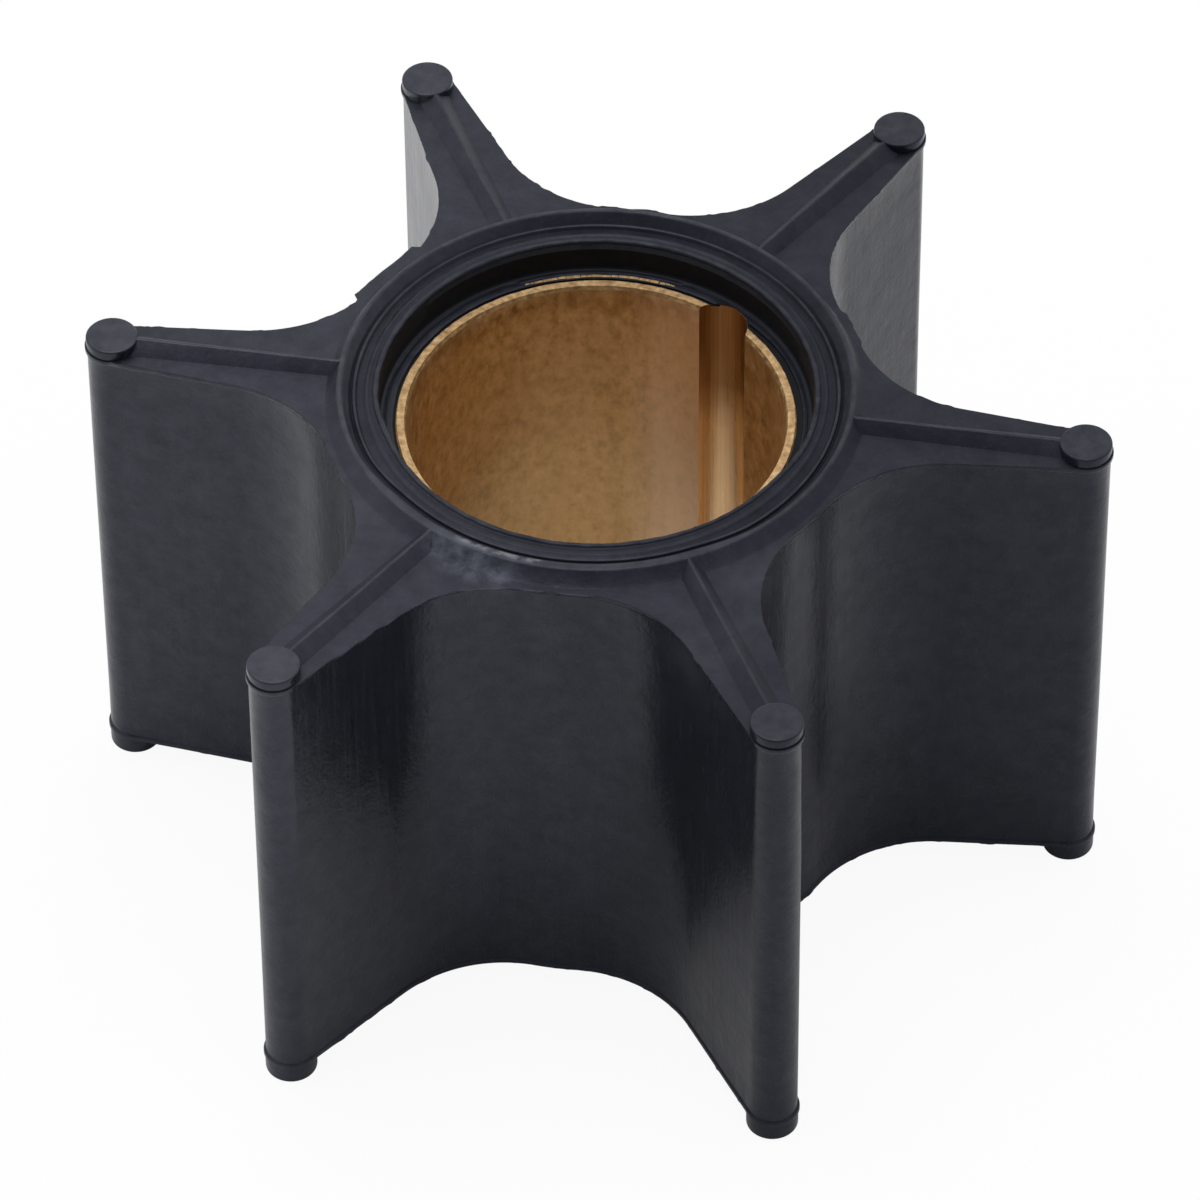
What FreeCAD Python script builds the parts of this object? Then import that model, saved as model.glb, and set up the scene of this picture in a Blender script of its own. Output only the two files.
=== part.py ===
"""Flexible vane impeller for a small raw water pump: one rubber moulding bonded on a bronze bush.

Millimetres, +Z up along the shaft. The origin is on the shaft axis at the underside of the lower
nubs, and one vane lies along +X. Both ends have the same sealing rings and ribs, and the lower
nubs are the longer ones, so the impeller stands on them.
"""
import FreeCAD, Part
import Sketcher
import math
import os

# Driving dimensions. Radii grow outwards from the bore, each ring by its own width.
SIZES = {
    # bronze bush
    "bore_radius": 13.9,
    "bore_chamfer": 0.3,
    "bush_rim": 0.7,
    "bush_wall": 2.5,
    "key_radius": 2.35,
    "key_depth": 1.5,
    "key_angle": 56.7,
    # recess over the bush, and the bevel on the bush's end that the rubber laps
    "recess_depth": 2.15,
    "ledge": 1.25,
    "bevel_depth": 0.6,
    # sealing rings, from the recess outwards: a width for each slope, and the heights it runs to
    "recess_mouth": 0.1,
    "ring_inner_slope": 0.37,
    "ring_height": 0.3,
    "ring_outer_slope": 0.16,
    "groove_floor": 0.05,
    "cushion_half": 0.475,
    "cushion_height": 0.23,
    "groove_slope": 0.42,
    "lip_inner_slope": 0.69,
    "lip_crest": 0.25,
    "lip_outer_slope": 0.85,
    "seal_height": 0.85,
    "hub_land": 0.3,
    # vanes
    "vane_count": 6,
    "web_length": 40.05,
    "vane_reach": 15.9,
    "bead_radius": 1.85,
    "flank_taper": 5.7,
    "root_radius": 10.5,
    # nubs on the vane ends, flaring with the mould's draft to the parting shoulder under each
    "lower_nub": 1.5,
    "nub_radius": 1.92,
    "shoulder_radius": 2.03,
    "shoulder_height": 0.35,
    # ribs along the vane ends
    "rib_crest": 0.22,
    "rib_foot_inner": 1.8,
    "rib_foot_outer": 2.3,
}

# Closer than this, a point counts as lying on a wall, in millimetres.
TOUCHING = 0.01
# Share of the room between two vanes that their root fillets may take.
ROOT_SHARE = 0.9


class Size:
    """A length or angle, kept as a number for drawing and as an expression on the sheet."""

    def __init__(self, number, text):
        self.number = number
        self.text = text

    def joined(self, other, sign, number):
        other_text = other.text if isinstance(other, Size) else repr(other)
        return Size(number, f"({self.text} {sign} {other_text})")

    def __add__(self, other):
        return self.joined(other, "+", self.number + plain(other))

    def __sub__(self, other):
        return self.joined(other, "-", self.number - plain(other))

    def __mul__(self, other):
        return self.joined(other, "*", self.number * plain(other))

    def __truediv__(self, other):
        return self.joined(other, "/", self.number / plain(other))

    def __neg__(self):
        return Size(-self.number, f"(-{self.text})")


def plain(value):
    """The number of a size, or the value itself where it is already a number."""
    return value.number if isinstance(value, Size) else value


def size(name):
    return Size(SIZES[name], f"Sizes.{name}")


def sine(angle):
    return Size(math.sin(math.radians(angle.number)), f"sin({angle.text})")


def cosine(angle):
    return Size(math.cos(math.radians(angle.number)), f"cos({angle.text})")


def smaller(first, second):
    return Size(min(first.number, second.number), f"min({first.text}; {second.text})")


def write_sheet(doc):
    """Put every driving dimension in a cell with its name."""
    sheet = doc.addObject("Spreadsheet::Sheet", "Sizes")
    for row, (name, value) in enumerate(SIZES.items(), start=1):
        sheet.set(f"A{row}", name)
        sheet.set(f"B{row}", str(value))
        sheet.setAlias(f"B{row}", name)
    doc.recompute()


def new_body(doc, name):
    body = doc.addObject("PartDesign::Body", name)
    body.Label = name
    body.Placement = FreeCAD.Placement()
    return body


def origin_feature(body, role):
    return next(item for item in body.Origin.OriginFeatures if item.Role == role)


def new_sketch(body, name, plane, offset=None):
    """A sketch on one of the body's own origin planes, moved off it by a size."""
    sketch = body.newObject("Sketcher::SketchObject", name)
    sketch.AttachmentSupport = [(origin_feature(body, plane), "")]
    sketch.MapMode = "FlatFace"
    if offset is not None:
        sketch.setExpression("AttachmentOffset.Base.z", offset.text)
    return sketch


def hold(sketch, kind, place, value):
    """Add a dimension at a place in the sketch and bind it to the sheet."""
    index = sketch.addConstraint(Sketcher.Constraint(kind, *place, value.number))
    sketch.setExpression(f"Constraints[{index}]", value.text)


def hold_point(sketch, line, end, across, up):
    hold(sketch, "DistanceX", (-1, 1, line, end), across)
    hold(sketch, "DistanceY", (-1, 1, line, end), up)


def closed_outline(sketch, corners):
    """Straight lines through the corners and back to the first, each corner held in place."""
    points = [FreeCAD.Vector(across.number, up.number, 0) for across, up in corners]
    count = len(corners)
    for index in range(count):
        sketch.addGeometry(Part.LineSegment(points[index], points[(index + 1) % count]), False)
    for index in range(count):
        sketch.addConstraint(Sketcher.Constraint("Coincident", index, 2, (index + 1) % count, 1))
    for index, (across, up) in enumerate(corners):
        hold_point(sketch, index, 1, across, up)


def revolve(body, name, sketch, axis):
    solid = body.newObject("PartDesign::Revolution", name)
    solid.Profile = sketch
    solid.ReferenceAxis = (sketch, [axis])
    solid.Angle = 360
    return solid


def cut_through(body, name, sketch):
    """Cut the sketch through the whole body, both ways from its plane."""
    cut = body.newObject("PartDesign::Pocket", name)
    cut.Profile = sketch
    cut.Type = "ThroughAll"
    cut.Midplane = True
    return cut


# Levels and radii that more than one feature uses.
UNDERSIDE = size("lower_nub")
TOP_FACE = UNDERSIDE + size("web_length")
BUSH_FOOT = UNDERSIDE + size("recess_depth")
BUSH_TOP = TOP_FACE - size("recess_depth")
RIM_RADIUS = size("bore_radius") + size("bush_rim")
BUSH_RADIUS = size("bore_radius") + size("bush_wall")
RECESS_RADIUS = RIM_RADIUS + size("ledge")


def ring_section():
    """Sealing rings as radius and height over the end face, from the recess to the lip's crest."""
    slopes = (
        ("ring_inner_slope", "ring_height"),
        ("ring_outer_slope", "groove_floor"),
        ("cushion_half", "cushion_height"),
        ("cushion_half", "groove_floor"),
        ("groove_slope", "ring_height"),
        ("ring_outer_slope", "groove_floor"),
        ("lip_inner_slope", "seal_height"),
        ("lip_crest", "seal_height"),
    )
    radius = RECESS_RADIUS
    section = [(radius, size("recess_mouth"))]
    for width, height in slopes:
        radius = radius + size(width)
        section.append((radius, size(height)))
    return section


RINGS = ring_section()
LIP_RADIUS = RINGS[-1][0]
LIP_FOOT = LIP_RADIUS + size("lip_outer_slope")
HUB_RADIUS = LIP_FOOT + size("hub_land")
BEAD_CIRCLE = HUB_RADIUS + size("vane_reach")


def hub_section():
    """The rubber sleeve in section: hub wall, rings at both ends and the seat of the bush."""
    corners = [(HUB_RADIUS, UNDERSIDE), (HUB_RADIUS, TOP_FACE), (LIP_FOOT, TOP_FACE)]
    corners += [(radius, TOP_FACE + height) for radius, height in reversed(RINGS)]
    corners += [
        (RECESS_RADIUS, BUSH_TOP),
        (RIM_RADIUS, BUSH_TOP),
        (BUSH_RADIUS, BUSH_TOP - size("bevel_depth")),
        (BUSH_RADIUS, BUSH_FOOT + size("bevel_depth")),
        (RIM_RADIUS, BUSH_FOOT),
        (RECESS_RADIUS, BUSH_FOOT),
    ]
    corners += [(radius, UNDERSIDE - height) for radius, height in RINGS]
    corners.append((LIP_FOOT, UNDERSIDE))
    return corners


def key_sketch(body):
    """The round-bottomed keyway: a circle that crosses the bore wall by the key's depth."""
    reach = size("bore_radius") + size("key_depth") - size("key_radius")
    angle = size("key_angle")
    middle = FreeCAD.Vector((reach * cosine(angle)).number, (reach * sine(angle)).number, 0)
    sketch = new_sketch(body, f"{body.Label}_key_outline", "XY_Plane")
    sketch.addGeometry(Part.Circle(middle, FreeCAD.Vector(0, 0, 1), SIZES["key_radius"]), False)
    hold(sketch, "Radius", (0,), size("key_radius"))
    hold_point(sketch, 0, 3, reach * cosine(angle), reach * sine(angle))
    return sketch


def vane_outline(body):
    """One vane seen from above: two tapering flanks that run tangent into the rounded tip."""
    sketch = new_sketch(body, "vane_outline", "XY_Plane", UNDERSIDE)
    taper = size("flank_taper")
    inner = LIP_RADIUS
    centre = BEAD_CIRCLE.number
    lean = math.radians(taper.number)
    touch = FreeCAD.Vector(centre + SIZES["bead_radius"] * math.sin(lean),
                           SIZES["bead_radius"] * math.cos(lean), 0)
    root_half = touch.y + (touch.x - inner.number) * math.tan(lean)
    left_root = FreeCAD.Vector(inner.number, root_half, 0)
    right_root = FreeCAD.Vector(inner.number, -root_half, 0)
    right_touch = FreeCAD.Vector(touch.x, -touch.y, 0)
    tip = FreeCAD.Vector(centre + SIZES["bead_radius"], 0, 0)
    sketch.addGeometry(Part.LineSegment(touch, left_root), False)
    sketch.addGeometry(Part.LineSegment(left_root, right_root), False)
    sketch.addGeometry(Part.LineSegment(right_root, right_touch), False)
    sketch.addGeometry(Part.Arc(right_touch, tip, touch), False)
    left_flank, root, right_flank, bead = range(4)
    sketch.addConstraint(Sketcher.Constraint("Coincident", left_flank, 2, root, 1))
    sketch.addConstraint(Sketcher.Constraint("Coincident", root, 2, right_flank, 1))
    sketch.addConstraint(Sketcher.Constraint("Tangent", right_flank, 2, bead, 1))
    sketch.addConstraint(Sketcher.Constraint("Tangent", bead, 2, left_flank, 1))
    sketch.addConstraint(Sketcher.Constraint("Symmetric", root, 1, root, 2, -1))
    hold(sketch, "DistanceX", (-1, 1, root, 1), inner)
    hold(sketch, "DistanceX", (-1, 1, bead, 3), BEAD_CIRCLE)
    sketch.addConstraint(Sketcher.Constraint("PointOnObject", bead, 3, -1))
    hold(sketch, "Radius", (bead,), size("bead_radius"))
    hold(sketch, "Angle", (left_flank, 2, right_flank, 1), taper * 2)
    return sketch


def nub(body, name, end, face, inwards):
    """A round nub on a vane end, flaring to the parting shoulder that laps the bead."""
    shoulder = face + size("shoulder_height") * inwards
    sketch = new_sketch(body, f"{name}_section", "XZ_Plane")
    closed_outline(sketch, [
        (BEAD_CIRCLE, end),
        (BEAD_CIRCLE + size("nub_radius"), end),
        (BEAD_CIRCLE + size("shoulder_radius"), shoulder),
        (BEAD_CIRCLE, shoulder),
    ])
    foot = FreeCAD.Vector(BEAD_CIRCLE.number, end.number, 0)
    head = FreeCAD.Vector(BEAD_CIRCLE.number, shoulder.number, 0)
    axis = sketch.addGeometry(Part.LineSegment(foot, head), True)
    sketch.addConstraint(Sketcher.Constraint("Coincident", axis, 1, 0, 1))
    sketch.addConstraint(Sketcher.Constraint("Coincident", axis, 2, 3, 1))
    return revolve(body, name, sketch, "Axis0")


def rib(body, name, face, crest):
    """A rib of nearly triangular section along a vane end, from the lip to the nub."""
    stations = ((LIP_RADIUS, "rib_foot_inner"), (BEAD_CIRCLE, "rib_foot_outer"))
    sketches = []
    for place, foot in stations:
        sketch = new_sketch(body, f"{name}_{foot[4:]}", "YZ_Plane", place)
        half_foot = size(foot) / 2
        half_crest = size("rib_crest") / 2
        closed_outline(sketch, [
            (-half_foot, face),
            (half_foot, face),
            (half_crest, crest),
            (-half_crest, crest),
        ])
        sketches.append(sketch)
    solid = body.newObject("PartDesign::AdditiveLoft", name)
    solid.Profile = sketches[0]
    solid.Sections = sketches[1:]
    solid.Ruled = True
    return solid


def on_hub_wall(point):
    return abs(math.hypot(point.x, point.y) - HUB_RADIUS.number) < TOUCHING


def root_edges(shape):
    """Names of the upright edges where the flanks meet the hub wall."""
    names = []
    for index, edge in enumerate(shape.Edges, start=1):
        start = edge.Vertexes[0].Point
        end = edge.Vertexes[-1].Point
        upright = math.hypot(end.x - start.x, end.y - start.y) < TOUCHING
        tall = abs(end.z - start.z) > SIZES["web_length"] / 2
        if upright and tall and on_hub_wall(start) and on_hub_wall(end):
            names.append(f"Edge{index}")
    return names


def root_fillet_size():
    """The root radius, or the largest that leaves a strip of hub wall between two vanes."""
    turn = Size(180.0 / SIZES["vane_count"], "(180 / Sizes.vane_count)")
    taper = size("flank_taper")
    half_root = size("bead_radius") / cosine(taper) + size("vane_reach") * sine(taper) / cosine(taper)
    room = (HUB_RADIUS * sine(turn) - half_root) / (Size(1.0, "1") - sine(turn))
    return smaller(size("root_radius"), room * ROOT_SHARE)


def make_impeller(doc):
    """The rubber moulding: sleeve, six vanes with beads, nubs and ribs, and filleted roots."""
    body = new_body(doc, "rubber_impeller")
    section = new_sketch(body, "hub_section", "XZ_Plane")
    closed_outline(section, hub_section())
    revolve(body, "hub", section, "V_Axis")
    cut_through(body, "lap_notch", key_sketch(body))

    vane = body.newObject("PartDesign::Pad", "vane")
    vane.Profile = vane_outline(body)
    vane.setExpression("Length", size("web_length").text)
    rib_top = rib(body, "upper_rib", TOP_FACE, TOP_FACE + size("seal_height"))
    rib_foot = rib(body, "lower_rib", UNDERSIDE, UNDERSIDE - size("seal_height"))
    nub_top = nub(body, "upper_nub", TOP_FACE + size("seal_height"), TOP_FACE, -1)
    nub_foot = nub(body, "lower_nub", UNDERSIDE - size("lower_nub"), UNDERSIDE, 1)

    ring = body.newObject("PartDesign::PolarPattern", "vane_ring")
    ring.Originals = [vane, rib_top, rib_foot, nub_top, nub_foot]
    ring.Axis = (origin_feature(body, "Z_Axis"), [""])
    ring.Angle = 360
    ring.setExpression("Occurrences", size("vane_count").text)
    body.Tip = ring
    doc.recompute()

    roots = body.newObject("PartDesign::Fillet", "root_fillets")
    roots.Base = (ring, root_edges(ring.Shape))
    roots.setExpression("Radius", root_fillet_size().text)
    body.Tip = roots
    return body


def make_bush(doc):
    """The bronze bush: a tube with bevelled ends that fills its seat in the rubber, with one keyway."""
    body = new_body(doc, "bronze_bush")
    bore = size("bore_radius")
    chamfer = size("bore_chamfer")
    section = new_sketch(body, "bush_section", "XZ_Plane")
    closed_outline(section, [
        (bore + chamfer, BUSH_FOOT),
        (RIM_RADIUS, BUSH_FOOT),
        (BUSH_RADIUS, BUSH_FOOT + size("bevel_depth")),
        (BUSH_RADIUS, BUSH_TOP - size("bevel_depth")),
        (RIM_RADIUS, BUSH_TOP),
        (bore + chamfer, BUSH_TOP),
        (bore, BUSH_TOP - chamfer),
        (bore, BUSH_FOOT + chamfer),
    ])
    revolve(body, "tube", section, "V_Axis")
    cut_through(body, "keyway", key_sketch(body))
    return body


def check_document(doc, bodies):
    """Stop if any feature failed or any piece is not one valid solid."""
    for item in doc.Objects:
        if "Invalid" in item.State or "Error" in item.State:
            raise RuntimeError(f"{item.Name} failed: {item.State}")
    for body in bodies:
        shape = body.Shape
        if shape.isNull() or not shape.isValid() or len(shape.Solids) != 1:
            raise RuntimeError(f"{body.Label} is not one valid solid")


def main():
    doc = FreeCAD.newDocument("impeller")
    write_sheet(doc)
    bodies = [make_impeller(doc), make_bush(doc)]
    doc.recompute()
    check_document(doc, bodies)
    os.makedirs("parts", exist_ok=True)
    for body in bodies:
        body.Shape.exportStep(f"parts/{body.Label}.step")
        box = body.Shape.BoundBox
        corners = (box.XMin, box.YMin, box.ZMin, box.XMax, box.YMax, box.ZMax)
        volume = round(body.Shape.Volume, 1)
        print(body.Label, "volume", volume, "box", [round(value, 3) for value in corners])


main()
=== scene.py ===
import math

import bmesh
import bpy
from mathutils import Matrix, Vector, noise


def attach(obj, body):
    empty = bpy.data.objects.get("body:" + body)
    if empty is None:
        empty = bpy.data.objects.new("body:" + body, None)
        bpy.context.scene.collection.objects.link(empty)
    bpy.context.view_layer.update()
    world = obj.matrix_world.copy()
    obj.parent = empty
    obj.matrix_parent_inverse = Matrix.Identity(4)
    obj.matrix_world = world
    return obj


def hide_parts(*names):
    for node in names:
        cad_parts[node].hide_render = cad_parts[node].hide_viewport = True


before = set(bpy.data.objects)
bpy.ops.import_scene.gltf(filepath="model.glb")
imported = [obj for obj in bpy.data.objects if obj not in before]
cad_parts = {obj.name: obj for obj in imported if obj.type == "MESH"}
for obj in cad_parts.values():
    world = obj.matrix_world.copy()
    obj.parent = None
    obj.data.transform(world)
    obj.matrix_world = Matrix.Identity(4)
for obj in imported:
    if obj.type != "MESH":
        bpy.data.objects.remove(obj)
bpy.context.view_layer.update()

# Sizes are in millimetres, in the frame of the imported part.
MM = 0.001
UNDERSIDE = 1.5
TOP_FACE = 41.55
LOWEST = 0.0
HIGHEST = 42.4
MID_HEIGHT = (TOP_FACE + UNDERSIDE) / 2
VANES = 6
VANE_STEP = 60.0

# Vanes, hub and sealing lip: radii, and the taper of a flank in degrees.
BEAD_CIRCLE = 35.9
BEAD = 1.85
FLANK_TAPER = 5.7
ROOT = 10.5
HUB = 20.0
LIP_FOOT = 19.7
LIP_CREST = 18.85

# The upper rings stand a little towards the back, and draw in at the front by at most the lean.
RING_SHIFT = Vector((0.0, 0.3, 0.0))
RING_LEAN = 0.35

# Recess, bush and the skin over its end: radii, and the heights of the bush's two ends.
RECESS = 15.85
BUSH_TOP = 39.4
BUSH_FOOT = 3.65
LEDGE_EDGE = 14.82
SEAT = 16.4
RIM = 14.6
BORE = 13.9
CHAMFER_WIDTH = 0.1
CHAMFER_HEIGHT = 0.34
# The bush's end: a shallow groove outside the rim, then a land under the rubber skin.
GROOVE_DROP = 0.25
LAND_EDGE = 15.08
LAND_OUTER = 15.6
LAND_DROP = 0.08
SHOULDER_DROP = 0.62
KEY_RADIUS = 2.35
KEY_REACH = 13.05
KEY_ANGLE = 56.7
KEY_CUTTER_LENGTH = 60.0
KEY_CUTTER_MIDDLE = 20.0
# Where the skin over the bush's end is torn beside the keyway, in degrees round the shaft, and
# the radius of the slivers of bronze that show there.
TORN_SKIN = (76.5, 120.0)
SLIVER_RADIUS = 15.02

# Direction in which the room is dim.
UNLIT_SIDE = (0.144, -0.854, 0.5)

RING_STEPS = 288
# A face whose normal is more upright than this is level.
LEVEL = 0.9995
Z_AXIS = Vector((0.0, 0.0, 1.0))

# Moulding lip where the two mould halves met each end face: depth under the face, how proud it
# stands, and the share of the collar round a vane's tip.
LIP_ROWS = ((0.0, 0.06, 0.82), (0.035, 0.11, 1.0), (0.12, 0.12, 1.0), (0.3, 0.12, 1.0),
            (0.4, 0.09, 0.8), (0.48, 0.015, 0.1), (0.6, 0.0, 0.0))
COLLAR = 2.02
FLANK_ROWS = 13

# Ribs: radius of the inner end, half breadth of the foot there and at the nub, half breadth of
# the crest, and height.
RIB_START = 18.62
RIB_FOOT = 0.885
RIB_FAR_FOOT = 1.15
RIB_CREST = 0.1
RIB_HEIGHT = 0.835


def on_plane(x, z):
    """A point of a section that is drawn over the XZ plane."""
    return Vector((x, 0.0, z))


def polar(radius, degrees, z=0.0):
    """The point at a radius, an azimuth and a height."""
    angle = math.radians(degrees)
    return Vector((radius * math.cos(angle), radius * math.sin(angle), z))


def azimuth_of(point):
    """Degrees round the shaft, from -180 to 180."""
    return math.degrees(math.atan2(point.y, point.x))


def radius_of(point):
    """Distance from the shaft's axis."""
    return math.hypot(point.x, point.y)


def ripple(point, grain, seed):
    """Smooth noise from -1 to 1, with bumps about as wide as the grain."""
    return noise.noise(point / grain + Vector((seed, seed * 0.37, seed * 0.61)))


def ramp(value, low, high):
    """0 below low, 1 above high and a smooth rise between them."""
    share = min(1.0, max(0.0, (value - low) / (high - low)))
    return share * share * (3.0 - 2.0 * share)


def between(value, low, high, soft):
    """1 inside the range, fading to 0 over a soft margin outside it."""
    return ramp(value, low - soft, low) * (1.0 - ramp(value, high, high + soft))


# Mesh helpers

def sweep(bm, start, centre, degrees, steps):
    """Spin one vertex into an arc of edges and give back its last vertex."""
    made = bmesh.ops.spin(bm, geom=[start], cent=centre, axis=Z_AXIS, dvec=(0, 0, 0),
                          angle=math.radians(degrees), steps=steps,
                          use_merge=False, use_normal_flip=False, use_duplicate=False)
    return next(item for item in made["geom_last"] if isinstance(item, bmesh.types.BMVert))


def run_on(bm, start, offset, pieces):
    """Carry a chain of edges on in a straight line, in even pieces."""
    step = offset / pieces
    last = start
    for _ in range(pieces):
        made = bmesh.ops.extrude_vert_indiv(bm, verts=[last])
        last = made["verts"][0]
        bmesh.ops.translate(bm, verts=[last], vec=step)
    return last


def chain(bm, points):
    """Edges through a few section points."""
    last = bm.verts.new(points[0])
    for point in points[1:]:
        last = run_on(bm, last, point - last.co, 1)


def revolve(bm, steps=RING_STEPS):
    """Spin the whole section round the upright axis into a closed skin."""
    bmesh.ops.spin(bm, geom=bm.verts[:] + bm.edges[:], cent=(0, 0, 0), axis=Z_AXIS,
                   dvec=(0, 0, 0), angle=math.tau, steps=steps, use_merge=True,
                   use_normal_flip=False, use_duplicate=False)


def scale_radius(vert, share):
    """Move a vertex towards or away from the shaft's axis."""
    vert.co.x *= share
    vert.co.y *= share


def pour(fresh, bm):
    """Add one mesh to another and free it."""
    mesh = bpy.data.meshes.new("poured")
    fresh.to_mesh(mesh)
    fresh.free()
    bm.from_mesh(mesh)
    bpy.data.meshes.remove(mesh)


def to_piece(bm, name):
    """Close up a mesh drawn in millimetres and hand it back as an object in metres."""
    bmesh.ops.remove_doubles(bm, verts=bm.verts[:], dist=0.0005)
    bmesh.ops.recalc_face_normals(bm, faces=bm.faces[:])
    bmesh.ops.scale(bm, vec=(MM, MM, MM), verts=bm.verts[:])
    mesh = bpy.data.meshes.new(name)
    bm.to_mesh(mesh)
    bm.free()
    piece = bpy.data.objects.new(name, mesh)
    bpy.context.scene.collection.objects.link(piece)
    return piece


def combine(piece, other, operation):
    """Join or cut a piece with another solid, then drop the other."""
    step = piece.modifiers.new("combine", "BOOLEAN")
    step.operation = operation
    step.solver = "EXACT"
    step.object = other
    bpy.context.view_layer.update()
    shown = piece.evaluated_get(bpy.context.evaluated_depsgraph_get())
    mesh = bpy.data.meshes.new_from_object(shown)
    piece.modifiers.clear()
    old = piece.data
    piece.data = mesh
    mesh.name = piece.name
    bpy.data.meshes.remove(old)
    tool_mesh = other.data
    bpy.data.objects.remove(other)
    bpy.data.meshes.remove(tool_mesh)


def settle_shading(piece, crease_degrees=32.0):
    """Smooth skin with creases at its edges, and level faces flat."""
    piece.data.set_sharp_from_angle(angle=math.radians(crease_degrees))
    for face in piece.data.polygons:
        face.use_smooth = abs(face.normal.z) < LEVEL


# Rubber moulding

def half_vane(bm):
    """Half a vane seen from above: rounded tip, tapering flank, root fillet and hub wall."""
    lean = math.radians(FLANK_TAPER)
    square = Vector((math.sin(lean), math.cos(lean), 0.0))
    inwards = Vector((-math.cos(lean), math.sin(lean), 0.0))
    offset = BEAD_CIRCLE * math.sin(lean) + BEAD + ROOT
    reach = math.sqrt((HUB + ROOT) ** 2 - offset ** 2)
    root_centre = square * offset - inwards * reach
    tip = bm.verts.new((BEAD_CIRCLE + BEAD, 0.0, UNDERSIDE))
    touch = sweep(bm, tip, (BEAD_CIRCLE, 0.0, UNDERSIDE), 90.0 - FLANK_TAPER, 16)
    flank_length = math.sqrt(BEAD_CIRCLE ** 2 - (offset - BEAD - ROOT) ** 2) - reach
    foot = run_on(bm, touch, inwards * flank_length, 36)
    root_turn = (180.0 - FLANK_TAPER + 90.0) - (180.0 + azimuth_of(root_centre))
    root_end = sweep(bm, foot, root_centre + Z_AXIS * UNDERSIDE, -root_turn, 40)
    sweep(bm, root_end, (0.0, 0.0, UNDERSIDE), VANE_STEP / 2 - azimuth_of(root_centre), 8)


def star_outline(bm):
    """Outline of all six vanes, at the height of the underside."""
    half_vane(bm)
    bmesh.ops.mirror(bm, geom=bm.verts[:] + bm.edges[:], matrix=Matrix.Identity(4),
                     merge_dist=0.001, axis="Y")
    bmesh.ops.spin(bm, geom=bm.verts[:] + bm.edges[:], cent=(0, 0, 0), axis=Z_AXIS, dvec=(0, 0, 0),
                   angle=math.radians(VANE_STEP * (VANES - 1)), steps=VANES - 1,
                   use_merge=False, use_normal_flip=False, use_duplicate=True)
    bmesh.ops.remove_doubles(bm, verts=bm.verts[:], dist=0.002)


def wall_levels():
    """Heights of the rows of the wall, from the underside to the top face."""
    lower = [UNDERSIDE + row[0] for row in LIP_ROWS]
    upper = [TOP_FACE - row[0] for row in reversed(LIP_ROWS)]
    low, high = lower[-1], upper[0]
    middle = [low + (high - low) * step / FLANK_ROWS for step in range(1, FLANK_ROWS)]
    return lower + middle + upper


def outward_normals(bm):
    """Direction out of the rubber at each point of the flat outline, by its rounded place."""
    normals = {}
    for vert in bm.verts:
        first, second = [edge.other_vert(vert).co for edge in vert.link_edges]
        run = (second - first).normalized()
        out = Vector((run.y, -run.x, 0.0))
        normals[place_key(vert.co)] = out if out.dot(vert.co) > 0.0 else -out
    return normals


def place_key(point):
    """A point of the flat outline by its place to a micron."""
    return (round(point.x, 3), round(point.y, 3))


def collar(point):
    """How far the collar round a vane's rounded tip stands out past the wall there."""
    index = round(azimuth_of(point) / VANE_STEP)
    apart = (point - polar(BEAD_CIRCLE, index * VANE_STEP, point.z)).length
    along = max(0.0, apart ** 2 - BEAD ** 2)
    return max(0.0, math.sqrt(max(0.0, COLLAR ** 2 - along)) - BEAD)


def flash(point, top):
    """How far the thin flash stands out past the moulding lip, in millimetres."""
    azimuth = azimuth_of(point)
    seed = 3.0 if top else 8.0
    ragged = ripple(point, 0.55, seed) * 0.16 + ripple(point, 1.7, seed + 2.0) * 0.1
    ragged = max(0.0, ragged - 0.03)
    if not top:
        return ragged

    # Places on the upper edge where more of it stands out, each between two azimuths.
    torn_off = between(azimuth, 139.0, 158.4, 0.5)
    ragged *= 1.0 - 0.75 * torn_off
    big = 0.6 * torn_off * (1.0 + 0.08 * ripple(point, 1.3, 5.0))
    small = 0.28 * between(azimuth, 26.0, 34.0, 2.0) * max(0.0, 0.6 + ripple(point, 1.1, 6.0))
    worn = 0.2 * between(azimuth, 84.0, 96.0, 3.0) * max(0.0, 0.5 + ripple(point, 1.4, 7.0))
    front = 0.3 * between(azimuth, -114.0, -84.0, 4.0) * max(0.0, 0.7 + ripple(point, 1.6, 9.0))
    return ragged + big + small + worn + front


def proud_at(point):
    """How far a point of the wall stands out from the plain outline."""
    tip = collar(point)
    for top, depth in ((True, TOP_FACE - point.z), (False, point.z - UNDERSIDE)):
        for row_depth, proud, tip_share in LIP_ROWS:
            if abs(depth - row_depth) > 0.004:
                continue
            if tip > proud:
                return tip * tip_share
            thin = between(depth, 0.02, 0.13, 0.08)
            wander = 1.0 + 0.25 * ripple(point, 6.0, 1.0 if top else 2.0)
            return max(proud * wander + thin * flash(point, top), tip * tip_share)
    return 0.0


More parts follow.
